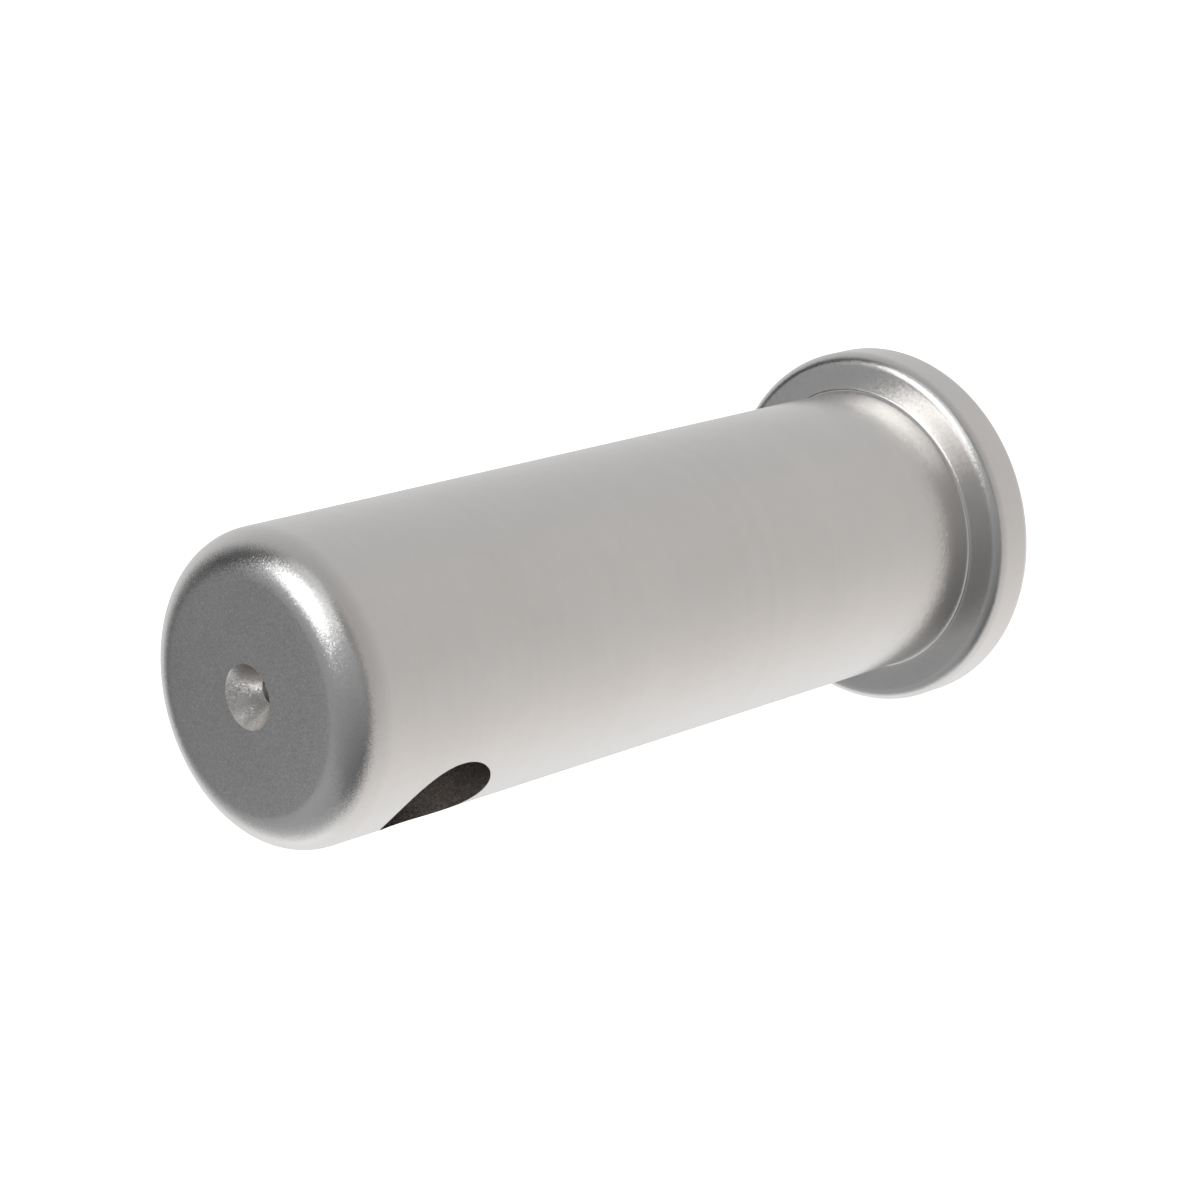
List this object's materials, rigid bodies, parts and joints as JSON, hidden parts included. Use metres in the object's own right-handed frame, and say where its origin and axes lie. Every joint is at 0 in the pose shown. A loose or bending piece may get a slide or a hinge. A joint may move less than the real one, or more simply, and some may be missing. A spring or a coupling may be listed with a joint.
{
  "type": "hitch pin",
  "caption": "Turned steel hitch pin with a round head, a plain shank with a rounded free end, a cross hole for a linch pin and a small centre hole.",
  "frame": {"origin": "centre of the head's flat back face, on which the pin stands", "axes": "+Z along the pin's axis from the head to the free end; the cross hole runs along Y, and -Y is the side on which the picture shows its mouth"},
  "size_m": [0.028, 0.028, 0.067],
  "materials": {
    "satin_steel": "satin, fine even grain, bare turned steel"
  },
  "bodies": {
    "root": {"hitch_pin": "satin_steel"}
  },
  "joints": []
}
